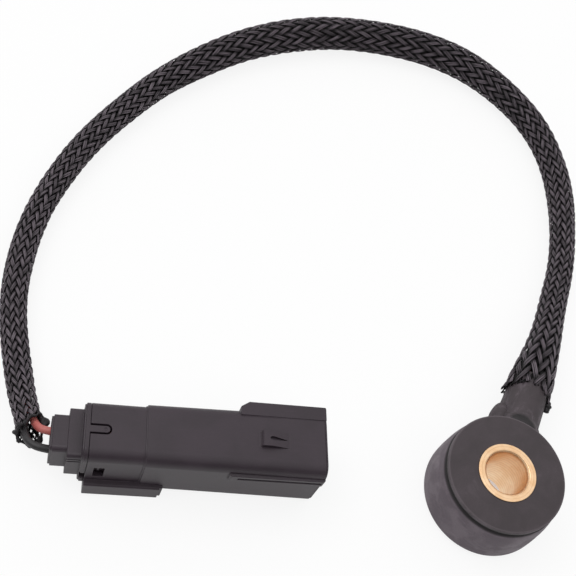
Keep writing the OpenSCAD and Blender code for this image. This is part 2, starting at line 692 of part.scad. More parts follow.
// Male terminal: crimps, box with its lance, and blade
module terminal(side) {
  grip_end_u = crimp_u + grip_l;
  tip = blade_tip_u;
  color("silver") place_connector() translate([0, side * lead_pitch / 2, 0]) {
    difference() {
      translate([crimp_u, 0, 0]) rotate([0, 90, 0]) cylinder(h = grip_l, d = wire_d + 0.5);
      translate([crimp_u - 1, 0, 0]) rotate([0, 90, 0]) cylinder(h = grip_l + 2, d = wire_d);
      block([crimp_u - 1, grip_end_u + eps], [-0.1, 0.1], [0, 3]);
    }
    block([crimp_u + grip_l, box_u - 0.6], [-0.75, 0.75], [-wire_d / 2 - 0.25, 0.5]);
    block([crimp_u, box_u + eps], [-0.6, 0.6], [-wire_d / 2 - 0.25, -wire_d / 2]);
    difference() {
      block([box_u, blade_u], [-box_w / 2, box_w / 2], [-box_w / 2, box_w / 2]);
      block([box_u - 1, blade_u - 0.4], [-box_w / 2 + 0.3, box_w / 2 - 0.3], [-box_w / 2 + 0.3, box_w / 2 - 0.3]);
      block([box_u + 1, box_u + 3], [-0.4, 0.4], [0, box_w]);
    }
    translate([0, 0, -blade_t / 2]) linear_extrude(blade_t) polygon([
      [blade_u - 0.5, -blade_w / 2], [tip - 1.2, -blade_w / 2], [tip, -0.3], [tip, 0.3],
      [tip - 1.2, blade_w / 2], [blade_u - 0.5, blade_w / 2]
    ]);
  }
}

module signal_blade() {
  terminal(signal_side);
}

module ground_blade() {
  terminal(ground_side);
}

// Terminal lock: a plate on the mouth's floor that the blades pass through
module terminal_lock() {
  color("gainsboro") place_connector() difference() {
    union() {
      bar(mouth_floor_u, mouth_floor_u + lock_plate_t, mouth_w - 0.3, 5, 0.8);
      bar(mouth_floor_u + lock_plate_t - eps, mouth_floor_u + lock_plate_t + 0.8, mouth_w - 1.6, 3.4, 0.8);
    }
    for (side = [signal_side, ground_side])
      block([mouth_floor_u - 1, mouth_floor_u + 5],
        [side * lead_pitch / 2 - blade_w / 2 - 0.1, side * lead_pitch / 2 + blade_w / 2 + 0.1],
        [-blade_t / 2 - 0.1, blade_t / 2 + 0.1]);
  }
}

sensor_housing();
bush();
lower_insulator();
lower_contact();
piezo_ring();
upper_contact();
upper_insulator();
seismic_mass();
disc_spring();
clamp_nut();
bleed_resistor();
signal_splice();
ground_splice();
braided_sleeve();
signal_wire();
ground_wire();
connector_housing();
rear_cap();
wire_seal();
signal_blade();
ground_blade();
terminal_lock();
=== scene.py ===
import math

import bmesh
import bpy
import numpy as np
from mathutils import Matrix, Vector


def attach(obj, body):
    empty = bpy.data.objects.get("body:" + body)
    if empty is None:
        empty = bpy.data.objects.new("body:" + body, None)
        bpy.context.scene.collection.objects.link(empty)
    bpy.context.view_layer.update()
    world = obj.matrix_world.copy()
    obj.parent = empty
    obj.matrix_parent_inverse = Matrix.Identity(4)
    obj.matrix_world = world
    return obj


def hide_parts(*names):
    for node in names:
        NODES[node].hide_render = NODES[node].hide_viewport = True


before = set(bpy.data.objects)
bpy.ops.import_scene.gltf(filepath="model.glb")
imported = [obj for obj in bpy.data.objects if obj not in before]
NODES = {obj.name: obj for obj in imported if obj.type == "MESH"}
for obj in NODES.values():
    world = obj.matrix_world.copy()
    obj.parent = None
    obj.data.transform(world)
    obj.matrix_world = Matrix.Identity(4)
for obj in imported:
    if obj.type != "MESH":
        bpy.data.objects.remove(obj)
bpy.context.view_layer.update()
MM = 0.001
rng = np.random.default_rng(7)


def ink(red, green, blue):
    """A screen colour, 0 to 255, as the linear colour that a material takes."""
    parts = [c / 255 for c in (red, green, blue)]
    return tuple(p / 12.92 if p <= 0.04045 else ((p + 0.055) / 1.055) ** 2.4 for p in parts) + (1.0,)


# Camera

CAMERA_PLACE = (-0.087046, -0.071891, 0.196774)
CAMERA_RIGHT = (0.97489, -0.02469, 0.22131)
CAMERA_UP = (-0.08975, 0.86599, 0.49195)
CAMERA_BACK = (-0.2038, -0.49946, 0.84202)

camera_data = bpy.data.cameras.new("camera")
camera_data.angle = math.radians(30)
camera_data.clip_start = 0.01
camera_data.clip_end = 10
camera = bpy.data.objects.new("camera", camera_data)
camera.matrix_world = Matrix([CAMERA_RIGHT, CAMERA_UP, CAMERA_BACK]).transposed().to_4x4()
camera.location = CAMERA_PLACE
bpy.context.scene.collection.objects.link(camera)
bpy.context.scene.camera = camera


# Finishes

def sign(operation, swapped=False):
    def work(self, other=0.0):
        pair = (other, self) if swapped else (self, other)
        return self.finish.node("ShaderNodeMath", {"operation": operation}, pair)
    return work


class Value:
    """One output of a finish's nodes. Python's own signs work on it."""

    def __init__(self, finish, socket):
        self.finish = finish
        self.socket = socket

    __add__ = __radd__ = sign("ADD")
    __sub__ = sign("SUBTRACT")
    __rsub__ = sign("SUBTRACT", swapped=True)
    __mul__ = __rmul__ = sign("MULTIPLY")
    __truediv__ = sign("DIVIDE")
    __rtruediv__ = sign("DIVIDE", swapped=True)
    __pow__ = sign("POWER")
    most = sign("MAXIMUM")
    least = sign("MINIMUM")

    def sine(self):
        return self.finish.node("ShaderNodeMath", {"operation": "SINE"}, [self])

    def size(self):
        return self.finish.node("ShaderNodeMath", {"operation": "ABSOLUTE"}, [self])

    def between(self, low, high):
        """0 below low, 1 above high, and smooth between them."""
        return self.finish.node(
            "ShaderNodeMapRange", {"interpolation_type": "SMOOTHSTEP"},
            {"Value": self, "From Min": low, "From Max": high},
        )


class Finish:
    """A material, and the nodes that make its surface."""

    def __init__(self, name):
        self.material = bpy.data.materials.new(name)
        self.material.use_nodes = True
        self.nodes = self.material.node_tree.nodes
        self.links = self.material.node_tree.links
        self.surface = self.nodes["Principled BSDF"]

    def feed(self, socket, value):
        if isinstance(value, Value):
            self.links.new(value.socket, socket)
        else:
            socket.default_value = value

    def node(self, kind, settings=None, sockets=(), output=0):
        """Add a node: its settings first, then its sockets, and give one output as a Value."""
        made = self.nodes.new(kind)
        for setting, value in (settings or {}).items():
            setattr(made, setting, value)
        pairs = sockets.items() if isinstance(sockets, dict) else enumerate(sockets)
        for socket, value in pairs:
            self.feed(made.inputs[socket], value)
        return Value(self, made.outputs[output])

    def place(self):
        """The point on the surface, in millimetres of the row frame."""
        spot = self.node("ShaderNodeTexCoord", output="Object")
        return self.node("ShaderNodeVectorMath", {"operation": "SCALE"}, {0: spot, "Scale": 1000.0})

    def axes(self, place):
        return [self.node("ShaderNodeSeparateXYZ", None, [place], output=k) for k in range(3)]

    def stretch(self, place, along):
        return self.node("ShaderNodeVectorMath", {"operation": "MULTIPLY"}, [place, along])

    def noise(self, place, size, detail=3.0, roughness=0.55, distortion=0.0):
        """Cloudy noise from 0 to 1, whose patches are about size millimetres wide."""
        return self.node(
            "ShaderNodeTexNoise", None,
            {"Vector": place, "Scale": 1 / size, "Detail": detail, "Roughness": roughness, "Distortion": distortion},
        )

    def cells(self, place, size):
        return self.node("ShaderNodeTexVoronoi", None, {"Vector": place, "Scale": 1 / size})

    def blend(self, factor, first, second):
        return self.node("ShaderNodeMix", {"data_type": "RGBA"}, {0: factor, 6: first, 7: second}, output=2)

    def bump(self, height, depth, strength=1.0, normal=None):
        """A raised surface, depth millimetres high where height is 1."""
        sockets = {"Height": height, "Distance": depth * MM, "Strength": strength}
        if normal:
            sockets["Normal"] = normal
        return self.node("ShaderNodeBump", None, sockets)

    def wear(self, **sockets):
        """Set the surface's own sockets, spaces in their names written as underscores."""
        for name, value in sockets.items():
            self.feed(self.surface.inputs[name.replace("_", " ")], value)
        return self.material


def sensor_plastic():
    f = Finish("sensor_plastic")
    spot = f.place()
    x, y, z = f.axes(spot)
    reach = (x * x + y * y) ** 0.5
    side = reach.between(11.7, 12.3)
    cloud = f.noise(spot, 5.0, 4.0, 0.6, 0.6)
    streak = f.noise(f.stretch(spot, (0.35, 0.35, 1.6)), 1.6, 5.0, 0.65)
    grain = f.noise(spot, 0.16, 2.0, 0.5)
    pits = f.cells(spot, 0.5)
    rubbed = side * cloud.between(0.42, 0.62) * (13.5 - reach).between(0.0, 0.5)
    scuffed = (side * streak.between(0.5, 0.72) * 0.8).most(cloud.between(0.62, 0.75) * 0.25)
    # Painted highlight: a lighter ring along the lip's top edge, where the edge catches the light
    lip_highlight = reach.between(11.55, 11.85) * z.between(12.95, 13.25)
    # Painted shade: the groove under the lip is painted near black, for the shade that falls in it
    groove_shade = z.between(11.0, 11.5) * (12.75 - z).between(0.0, 0.3) * reach.between(11.2, 11.4)
    # Painted light: the side wall below the lip is painted lighter than the top face, standing for the light that
    # falls on it
    painted_side_light = side * (12.6 - z).between(0.0, 1.2) * (13.5 - reach).between(0.0, 0.5)
    base = f.blend(cloud.between(0.3, 0.7), ink(58, 51, 54), ink(66, 58, 62))
    base = f.blend(painted_side_light * 0.9, base, ink(97, 87, 95))
    base = f.blend(rubbed * 0.6, base, ink(112, 101, 109))
    base = f.blend(scuffed * 0.5, base, ink(124, 112, 121))
    base = f.blend(grain.between(0.35, 0.75) * 0.2, base, ink(48, 43, 46))
    base = f.blend(lip_highlight * 0.4, base, ink(104, 95, 100))
    base = f.blend(groove_shade * 0.85, base, ink(18, 16, 17))
    height = grain * 0.6 + cloud * 0.5 + pits.between(0.0, 0.35) * 0.15
    return f.wear(
        Base_Color=base,
        Roughness=0.62 - rubbed * 0.1 + grain * 0.1,
        Specular_IOR_Level=0.42,
        Normal=f.bump(height, 0.03),
    )


def connector_plastic():
    f = Finish("connector_plastic")
    spot = f.place()
    cloud = f.noise(spot, 7.0, 3.0, 0.5, 0.3)
    grain = f.noise(spot, 0.14, 2.0, 0.55)
    drag = f.noise(f.stretch(spot, (0.12, 1.0, 1.0)), 0.5, 3.0, 0.6)
    base = f.blend(cloud.between(0.3, 0.7), ink(47, 38, 45), ink(53, 43, 51))
    base = f.blend(drag.between(0.55, 0.8) * 0.25, base, ink(68, 56, 66))
    base = f.blend(grain.between(0.4, 0.7) * 0.2, base, ink(30, 26, 28))
    return f.wear(
        Base_Color=base,
        Roughness=0.36 + grain * 0.12 + cloud * 0.06,
        Specular_IOR_Level=0.4,
        Normal=f.bump(grain + drag * 0.4, 0.014),
    )


def turned_metal(name, light, dark, mark, pitch, roughness):
    """Metal from a lathe: rings of tool marks round its own axis, which is the bolt's."""
    f = Finish(name)
    spot = f.place()
    x, y, z = f.axes(spot)
    reach = (x * x + y * y) ** 0.5
    cloud = f.noise(spot, 2.4, 4.0, 0.6)
    fine = f.noise(spot, 0.25, 3.0, 0.6)
    waver = f.noise(spot, 1.1, 2.0, 0.5)
    rings = ((reach + z * 0.9 + waver * 0.12) * (2 * math.pi / pitch)).sine()
    broad = ((reach + z * 0.7 + waver * 0.2) * (2 * math.pi / (pitch * 3.7))).sine()
    specks = f.cells(spot, 0.55).between(0.16, 0.06) * fine.between(0.45, 0.7)
    base = f.blend(cloud.between(0.3, 0.7), dark, light)
    base = f.blend(broad.between(0.5, 1.0) * 0.22, base, mark)
    base = f.blend(specks * 0.6, base, mark)
    return f.wear(
        Base_Color=base,
        Metallic=1.0,
        Roughness=roughness + fine * 0.12 + cloud * 0.06,
        Normal=f.bump(rings * 0.5 + broad * 0.5 + fine * 0.8, 0.009),
    )


def filament_finish(name, dark, light, roughness=0.36):
    """Extruded monofilament: each strand has its own tone, with painted light and shade along the weave (lighter over
    the floats, darker where it goes under), and rubbed places are lighter.
    """
    f = Finish(name)
    spot = f.place()
    tone_and_painted_light = f.node("ShaderNodeAttribute", {"attribute_name": "tone_and_painted_light"}, output="Fac")
    rub = f.noise(spot, 1.2, 3.0, 0.6)
    fine = f.noise(spot, 0.12, 2.0, 0.5)
    # The mesh attribute holds each strand's own tone with the painted light and shade of the weave
    base = f.blend(tone_and_painted_light, dark, light)
    base = f.blend(rub.between(0.55, 0.75) * tone_and_painted_light * 0.4, base, ink(104, 98, 104))
    return f.wear(
        Base_Color=base,
        Roughness=roughness + fine * 0.15 + rub * 0.08,
        Specular_IOR_Level=0.22,
        Normal=f.bump(fine, 0.01),
    )


def insulation(name, base, pale, dirt):
    f = Finish(name)
    spot = f.place()
    cloud = f.noise(spot, 1.8, 3.0, 0.6)
    fine = f.noise(spot, 0.18, 3.0, 0.6)
    colour = f.blend(cloud.between(0.3, 0.7), base, pale)
    colour = f.blend(fine.between(0.62, 0.8) * 0.4, colour, dirt)
    return f.wear(
        Base_Color=colour,
        Roughness=0.42 + fine * 0.14,
        Specular_IOR_Level=0.5,
        Normal=f.bump(fine + cloud * 0.6, 0.012),
    )


def plain_finish(name, dark, light, size, roughness, depth=0.01, metallic=0.0, stretch=(1, 1, 1)):
    """A cloudy finish for the pieces inside: two shades, fine grain and uneven gloss."""
    f = Finish(name)
    spot = f.place()
    cloud = f.noise(f.stretch(spot, stretch), size, 4.0, 0.6)
    grain = f.noise(spot, size * 0.12, 2.0, 0.5)
    base = f.blend(cloud.between(0.3, 0.7), dark, light)
    return f.wear(
        Base_Color=f.blend(grain.between(0.5, 0.8) * 0.3, base, dark),
        Metallic=metallic,
        Roughness=roughness + grain * 0.12,
        Normal=f.bump(grain + cloud * 0.5, depth),
    )


SENSOR_PLASTIC = sensor_plastic()
CONNECTOR_PLASTIC = connector_plastic()
BRASS = turned_metal("turned_brass", ink(247, 214, 176), ink(236, 194, 150), ink(160, 116, 74), 0.16, 0.3)
STEEL = turned_metal("turned_steel", ink(196, 197, 200), ink(168, 170, 174), ink(110, 108, 106), 0.2, 0.32)
# Strands run from near black, the painted shade where they go under, to the painted light of the floats
STRAND = filament_finish("monofilament", ink(5, 4, 5), ink(112, 103, 110), 0.3)
MELTED = filament_finish("melted_ends", ink(38, 36, 38), ink(52, 49, 52), 0.3)
RED = insulation("red_insulation", ink(170, 82, 78), ink(188, 106, 100), ink(122, 58, 54))
BLACK = insulation("black_insulation", ink(32, 30, 32), ink(44, 42, 44), ink(22, 21, 22))
FILM = plain_finish("insulator_film", ink(176, 138, 62), ink(204, 172, 96), 3.0, 0.35)
CONTACT = plain_finish("contact_brass", ink(188, 152, 88), ink(212, 178, 112), 2.0, 0.3, 0.004, 1.0, (1, 0.1, 1))
CERAMIC = plain_finish("piezo_ceramic", ink(112, 106, 94), ink(140, 133, 120), 1.5, 0.6, 0.02)
CHIP = plain_finish("resistor_body", ink(26, 28, 32), ink(40, 44, 50), 0.8, 0.25, 0.004)
TINNED = plain_finish("tinned_metal", ink(176, 176, 176), ink(206, 206, 204), 1.2, 0.3, 0.005, 1.0, (1, 0.3, 1))
SEAL = plain_finish("seal_rubber", ink(92, 48, 36), ink(112, 62, 48), 2.0, 0.55, 0.01)
LOCK = plain_finish("lock_plastic", ink(206, 206, 198), ink(222, 222, 216), 3.0, 0.45, 0.01)


# Mesh helpers

def add_piece(name, points, faces, material, smooth_below=40):
    """A mesh piece from its points and faces, smooth over edges that turn less than smooth_below degrees."""
    mesh = bpy.data.meshes.new(name)
    mesh.from_pydata(np.asarray(points).tolist(), [], np.asarray(faces).tolist() if isinstance(faces, np.ndarray) else faces)
    mesh.update()
    piece = bpy.data.objects.new(name, mesh)
    bpy.context.scene.collection.objects.link(piece)
    return finished(piece, material, smooth_below)


def finished(piece, material, smooth_below=40):
    piece.data.materials.clear()
    piece.data.materials.append(material)
    piece.data.shade_smooth()
    if smooth_below < 180:
        piece.data.set_sharp_from_angle(angle=math.radians(smooth_below))
    return piece


def stands_for(piece, slot, *nodes):
    """Tie a piece to the frame: its body and the nodes that it replaces. Its material slot is not used."""
    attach(piece, "root")
    if nodes:
        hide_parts(*nodes)
    return piece


def unit(vectors):
    return vectors / np.linalg.norm(vectors, axis=-1, keepdims=True)


def tube_faces(rings, sides):
    """Faces of a tube of that many rings, each of that many points; its two ends are left open."""
    ring = np.arange(rings - 1)[:, None] * sides
    here = np.arange(sides)[None, :]
    after = (here + 1) % sides
    quads = np.stack([ring + here, ring + after, ring + sides + after, ring + sides + here], axis=-1)
    return quads.reshape(-1, 4)


# The lead's route

# x, y, z and outer radius of the sleeve, from the stub round to the connector
SLEEVE_ROUTE = np.array([
    (0.0089, 0.0183, 0.0065, 0.0050), (0.0112, 0.0230, 0.0065, 0.0048), (0.0134, 0.0275, 0.0063, 0.0043),
    (0.0156, 0.0320, 0.0058, 0.0038), (0.0185, 0.0385, 0.0047, 0.0033), (0.0215, 0.0460, 0.0037, 0.0031),
    (0.0245, 0.0540, 0.0032, 0.0030), (0.0270, 0.0650, 0.0032, 0.0030), (0.0280, 0.0760, 0.0033, 0.0032),
    (0.0270, 0.0875, 0.0033, 0.0032), (0.0235, 0.0970, 0.0035, 0.0034), (0.0170, 0.1055, 0.0037, 0.0036),
    (0.0080, 0.1125, 0.0040, 0.0039), (-0.0025, 0.1165, 0.0041, 0.0040), (-0.0140, 0.1180, 0.0041, 0.0040),
    (-0.0260, 0.1175, 0.0041, 0.0040), (-0.0380, 0.1145, 0.0041, 0.0040), (-0.0495, 0.1095, 0.0039, 0.0038),
    (-0.0600, 0.1025, 0.0037, 0.0036), (-0.0690, 0.0950, 0.0034, 0.0033), (-0.0770, 0.0860, 0.0032, 0.0031),
    (-0.0840, 0.0765, 0.0031, 0.0030), (-0.0895, 0.0665, 0.0030, 0.0029), (-0.0935, 0.0565, 0.0029, 0.0028),
    (-0.0958, 0.0460, 0.0029, 0.0028), (-0.0965, 0.0355, 0.0028, 0.0027), (-0.0955, 0.0260, 0.0029, 0.0027),
    (-0.0940, 0.0185, 0.0035, 0.0027), (-0.0926, 0.0125, 0.0047, 0.0026), (-0.0912, 0.0078, 0.0062, 0.0025),
])
SIGNAL_BEND = [(-0.0897, 0.0064, 0.0074), (-0.0888, 0.0053, 0.0083)]
GROUND_BEND = [(-0.0916, 0.0046, 0.0074), (-0.0906, 0.0026, 0.0083), (-0.0892, 0.0016, 0.0088)]

STUB_ANGLE = math.radians(64)
STUB_Z = 0.0065
STUB_REACH = 0.026
LEAD_PITCH = 0.0035
LEAD_SPREAD = 0.0017
WIRE_START = 0.01644
CONNECTOR_REAR = (-0.087, 0.003, 0.008765)
CONNECTOR_TILT = math.radians(1.378)
CRIMP_REACH = 0.0162


def on_stub(reach, side, z):
    cos, sin = math.cos(STUB_ANGLE), math.sin(STUB_ANGLE)
    return (reach * cos - side * sin, reach * sin + side * cos, z)


def in_connector(u, side, up):
    cos, sin = math.cos(CONNECTOR_TILT), math.sin(CONNECTOR_TILT)
    x, y, z = CONNECTOR_REAR
    return (x + u * cos + up * sin, y + side, z + up * cos - u * sin)


def spline(knots, values, at):
    """A natural cubic spline through the values at the knots, read at other places."""
    gap = np.diff(knots)
    count = len(knots)
    system = np.eye(count)
    right = np.zeros((count, values.shape[1]))
    for i in range(1, count - 1):
        system[i, i - 1:i + 2] = gap[i - 1], 2 * (gap[i - 1] + gap[i]), gap[i]
        right[i] = 6 * ((values[i + 1] - values[i]) / gap[i] - (values[i] - values[i - 1]) / gap[i - 1])
    bend = np.linalg.solve(system, right)
    i = np.clip(np.searchsorted(knots, at) - 1, 0, count - 2)
    width = gap[i][:, None]
    a = ((knots[i + 1] - at) / gap[i])[:, None]
    b = 1 - a
    return a * values[i] + b * values[i + 1] + ((a**3 - a) * bend[i] + (b**3 - b) * bend[i + 1]) * width**2 / 6


class Route:
    """A smooth line through points, with its radius and its left and up directions at each distance."""

    def __init__(self, points, step=0.00025, ends=0.0):
        points = np.asarray(points, float)
        knots = np.r_[0, np.cumsum(np.linalg.norm(np.diff(points[:, :3], axis=0), axis=1))]
        fine = spline(knots, points, np.linspace(0, knots[-1], int(knots[-1] / step)))
        distance = np.r_[0, np.cumsum(np.linalg.norm(np.diff(fine[:, :3], axis=0), axis=1))]
        self.length = distance[-1]
        ahead = unit(np.gradient(fine[:, :3], axis=0))
        if ends:
            first = np.r_[fine[0, :3] - ahead[0] * ends, fine[0, 3:]]
            last = np.r_[fine[-1, :3] + ahead[-1] * ends, fine[-1, 3:]]
            fine = np.vstack([first, fine, last])
            ahead = np.vstack([ahead[0], ahead, ahead[-1]])
            distance = np.r_[-ends, distance, self.length + ends]
        left = unit(np.cross([0, 0, 1], ahead))
        self.distance = distance
        self.table = np.hstack([fine[:, :3], left, np.cross(ahead, left), ahead, fine[:, 3:]])

    def at(self, distance):
        """Place, left, up and ahead, and the radius, at each distance."""
        shape = np.shape(distance)
        flat = np.ravel(distance)
        read = np.stack([np.interp(flat, self.distance, column) for column in self.table.T], axis=-1)
        parts = [read[:, k:k + 3].reshape(*shape, 3) for k in (0, 3, 6, 9)]
        radius = read[:, 12].reshape(shape) if read.shape[1] > 12 else None
        return *parts, radius

    def line(self, gap):
        distance = np.linspace(0, self.length, max(2, int(self.length / gap)))
        return self.at(distance)[0]


# Braided sleeve

YARNS = 16
STRANDS = (-1, 0, 1)
STRAND_SIDES = 5
STRAND_RADIUS = 0.00018
FLATNESS = 0.8
# Distance along the sleeve from one yarn to the next where its radius is 3 mm, and what each metre of radius adds
YARN_PITCH = 0.0025
PITCH_GROWTH = 0.8
PITCH_RADIUS = 0.003
STRAND_SHARE = 0.21
CROSS_RISE = 0.00028
CROWN = 0.00003
STEPS_A_CROSSING = 3
ROUTE_ENDS = 0.009
QUARTERS = np.radians([0, 45, 90, 135, 180, 225, 270, 315, 360])
# Where the sleeve begins and stops, in millimetres from the route's two ends, at each eighth of a turn
START_EDGE = [0.2, 1.6, 2.6, 1.7, 0.5, 1.0, 1.4, 0.9, 0.2]
END_EDGE = [1.6, 0.7, 2.2, 3.0, 2.8, 3.7, 4.4, 3.8, 1.6]
# The two tufts over the stub: the angle each gathers round, its half width and how far it stands out
TUFTS = [(0.09, 0.8, 0.0009), (2.95, 0.85, 0.0001)]
TUFT_REACH = 0.0045


def wander(phase, along, wave, amount):
    """Slow uneven drift along a strand."""
    turn = 2 * math.pi * along / wave
    return amount * (np.sin(turn + phase) + 0.6 * np.sin(turn * 2.3 + phase * 3.1)) / 1.6


def edge(around, eighths):
    """A distance given at each eighth of a turn, read at any angle."""
    return np.interp(np.mod(around, 2 * math.pi), QUARTERS, eighths) * MM


class Braid:
    """The sleeve's weave: two sets of yarns that cross over two and under two."""

    def __init__(self, route):
        self.route = route
        distance = np.linspace(-ROUTE_ENDS, route.length + ROUTE_ENDS, 6000)
        radius = route.at(distance)[4]
        pitch = YARN_PITCH + PITCH_GROWTH * (radius - PITCH_RADIUS)
        lean = np.arctan(2 * math.pi * radius / (YARNS * pitch))
        turn = np.r_[0, np.cumsum((2 * math.pi / (YARNS * pitch))[:-1] * np.diff(distance))]
        crossings = np.arange(0, turn[-1], math.pi / YARNS / STEPS_A_CROSSING)
        self.distance = np.interp(crossings, turn, distance)
        self.turn = crossings
        self.lean = np.interp(crossings, turn, lean)
        self.gap = np.interp(crossings, turn, STRAND_SHARE * pitch * np.sin(lean))

    def gather(self, around, along):
        """Pull the strands over the stub together into the two tufts, and say how far they stand out."""
        near = np.clip((TUFT_REACH - along) / TUFT_REACH, 0, 1.3)
        pull, lift = 0.0, 0.0
        for middle, width, proud in TUFTS:
            off = np.mod(around - middle + math.pi, 2 * math.pi) - math.pi
            share = near**1.4 * np.exp(-(off / width) ** 2)
            pull = pull - 0.62 * off * share
            lift = lift + proud * near * share
        return around + pull, lift

    def flare(self, around, along):
        """How far the open end at the connector swings out to the left and below."""
        past = np.clip(along - self.route.length + 0.001, 0, None)
        share = np.maximum(0.5 - 0.5 * np.cos(around), -np.sin(around))
        return -0.1 * past * np.clip(share, 0, 1)

    def strand(self, hand, yarn, strand):
        """The rings of one filament, and how light it is at each ring: its own tone, painted lighter where it rides
        over and darker, as shade, where it goes under.
        """
        phase = rng.uniform(0, 2 * math.pi, 4)
        ragged = rng.uniform(-0.0003, 0.0004, 2)
        base = 2 * math.pi * yarn / YARNS + hand * self.turn
        radius = self.route.at(self.distance)[4]
        gap = self.gap
        offset = gap * strand + wander(phase[0], self.distance, 0.011, 0.00003)
        around = base + offset * np.cos(self.lean) / radius
        along = self.distance - hand * np.sin(self.lean) * offset
        turned = np.interp(along, self.distance, self.turn)
        column = yarn + (around + hand * turned) * YARNS / (2 * math.pi)
        rise = hand * np.clip(1.3 * np.cos(math.pi * (column - 0.5) / 2), -1, 1)
        around = around + wander(phase[1], self.distance, 0.023, 0.012)
        short = 0.0008 * abs(strand)
        keep = (along > edge(around, START_EDGE) + ragged[0])
        keep &= along < self.route.length + np.maximum(edge(around, END_EDGE) - short, -0.0002) + ragged[1] / 2
        middle = len(keep) // 2
        breaks = np.flatnonzero(~keep)
        first = breaks[breaks < middle].max(initial=-1) + 1
        last = breaks[breaks > middle].min(initial=len(keep))
        pick = slice(first, last)
        around, rise, along, gap = around[pick], rise[pick], along[pick], gap[pick]
        place, left, up, ahead, radius = self.route.at(along)
        around, lift = self.gather(around, along)
        angle, lean = around[:, None], self.lean[pick, None]
        outward = np.cos(angle) * left + np.sin(angle) * up
        sideways = np.cos(angle) * up - np.sin(angle) * left
        height = radius - 0.00034 + CROSS_RISE * rise - CROWN * strand**2 + wander(phase[2], along, 0.017, 0.00003)
        centre = place + (height + lift)[:, None] * outward + self.flare(around, along)[:, None] * left
        flat = np.cos(lean) * sideways - hand * np.sin(lean) * ahead
        thick = np.clip(gap * 0.45, 0.00013, STRAND_RADIUS)[:, None, None]
        turn = np.arange(STRAND_SIDES) * 2 * math.pi / STRAND_SIDES
        rings = centre[:, None, :] + thick * (
            np.cos(turn)[None, :, None] * flat[:, None, :]
            + FLATNESS * np.sin(turn)[None, :, None] * outward[:, None, :]
        )
        # Painted light and shade: lighter where the strand rides over, darker where it goes under the crossing yarns,
        # times a random tone of its own
        tone_and_painted_light = rng.uniform(0.3, 1.0) * np.clip(0.05 + 0.95 * rise + wander(phase[3], along, 0.0052, 0.3), 0, 1)
        return rings, tone_and_painted_light

    def piece(self, name, hand, yarns):
        points, faces, tones_and_painted_light, base = [], [], [], 0
        for yarn in yarns:
            for strand in STRANDS:
                rings, tone_and_painted_light = self.strand(hand, yarn, strand)
                count = len(rings) * STRAND_SIDES
                points.append(rings.reshape(-1, 3))
                faces.extend((tube_faces(len(rings), STRAND_SIDES) + base).tolist())
                faces.append(list(range(base + STRAND_SIDES - 1, base - 1, -1)))
                faces.append(list(range(base + count - STRAND_SIDES, base + count)))
                tones_and_painted_light.append(np.repeat(tone_and_painted_light, STRAND_SIDES))
                base += count
        piece = add_piece(name, np.vstack(points), faces, STRAND, 180)
        tone_and_painted_light = piece.data.attributes.new("tone_and_painted_light", "FLOAT", "POINT")
        tone_and_painted_light.data.foreach_set("value", np.concatenate(tones_and_painted_light))
        return piece

    def painted_shade_tube(self, name):
        """A near-black tube just inside the yarns, painted shade for the dark inside of the sleeve, which closes the
        gaps between yarns, short of both frayed ends.
        """
        sides = 20
        distance = np.linspace(0.006, self.route.length - 0.004, 260)
        place, left, up, ahead, radius = self.route.at(distance)
        turn = np.arange(sides) * 2 * math.pi / sides
        rings = place[:, None, :] + (radius - 0.00095)[:, None, None] * (
            np.cos(turn)[None, :, None] * left[:, None, :] + np.sin(turn)[None, :, None] * up[:, None, :]
        )
        return add_piece(name, rings.reshape(-1, 3), tube_faces(len(rings), sides), STRAND, 180)

    def melted_rim(self, name):
        """The bead of fused strand ends round the open end at the connector."""
        turn = np.linspace(0, 2 * math.pi, 240, endpoint=False)
        lumps = 0.5 + 0.5 * np.sin(turn * 11 + 1.3 * np.sin(turn * 3 + 0.6))
        along = self.route.length + edge(turn, END_EDGE) - 0.0002 + 0.0003 * np.sin(turn * 7 + 1.0)
        place, left, up, ahead, radius = self.route.at(along)
        outward = np.cos(turn)[:, None] * left + np.sin(turn)[:, None] * up
        bead = 0.00026 + 0.0004 * lumps * (0.6 + 0.4 * np.sin(turn * 2 + 2.6)) + 0.00045 * np.exp(-(turn / 0.35) ** 2)
        centre = place + (radius - 0.0002 + 0.3 * bead)[:, None] * outward + self.flare(turn, along)[:, None] * left
        return self.bead(name, centre, bead, outward, ahead, True)

    def melted_tips(self, name):
        """The lump in which the right tuft's strands end beside the stub."""
        along = np.linspace(-0.0001, 0.0026, 24)
        turn = np.full(24, TUFTS[1][0]) + 0.04 * np.sin(along * 4000)
        place, left, up, ahead, radius = self.route.at(along)
        outward = np.cos(turn)[:, None] * left + np.sin(turn)[:, None] * up
        share = np.linspace(0, 1, 24)
        bead = 0.00072 * np.sqrt(np.clip(1 - (2 * share - 1) ** 4, 0.02, 1)) * (1 + 0.14 * np.sin(share * 13 + 0.5))
        centre = place + (radius - 0.0001)[:, None] * outward
        sideways = np.cos(turn)[:, None] * up - np.sin(turn)[:, None] * left
        return self.bead(name, centre, bead, outward, sideways, False)

    def bead(self, name, centre, bead, across, other, closed):
        sides = 12
        turn = np.arange(sides) * 2 * math.pi / sides
        rough = 1 + 0.1 * np.sin(np.arange(len(centre))[:, None] * 1.1 + 2 * turn[None, :])
        rings = centre[:, None, :] + (bead[:, None] * rough)[:, :, None] * (
            np.cos(turn)[None, :, None] * across[:, None, :] + np.sin(turn)[None, :, None] * other[:, None, :]
        )
        faces = tube_faces(len(rings), sides).tolist()
        last = (len(rings) - 1) * sides
        if closed:
            for k in range(sides):
                after = (k + 1) % sides
                faces.append([last + k, last + after, after, k])
        else:
            faces.append(list(range(sides - 1, -1, -1)))
            faces.append(list(range(last, last + sides)))
        return add_piece(name, rings.reshape(-1, 3), faces, MELTED, 180)


